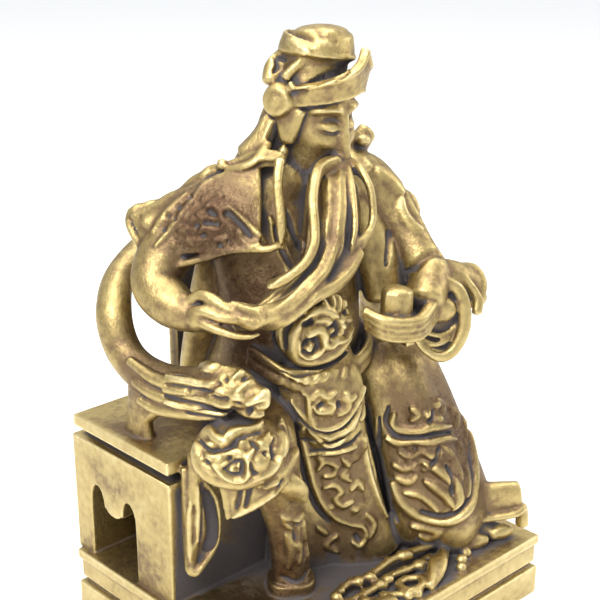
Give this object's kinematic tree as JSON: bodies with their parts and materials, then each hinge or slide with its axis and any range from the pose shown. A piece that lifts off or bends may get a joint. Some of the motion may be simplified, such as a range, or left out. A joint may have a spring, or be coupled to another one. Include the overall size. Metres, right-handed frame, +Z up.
{
  "type": "guan yu statue",
  "caption": "Small cast brass statue of a bearded seated official in robes, in a dragon-railed armchair on a stepped plinth; stands on its flat underside.",
  "frame": {"origin": "centre of the plinth's underside", "axes": "+Z up, the sitter faces -Y, +X is the sitter's left hand"},
  "size_m": [0.0288, 0.025, 0.0473],
  "materials": {
    "antiqued_brass": "cast, dark patina in the hollows, polished on the high edges"
  },
  "bodies": {
    "root": {"guan_yu_statue": "antiqued_brass"}
  },
  "joints": []
}
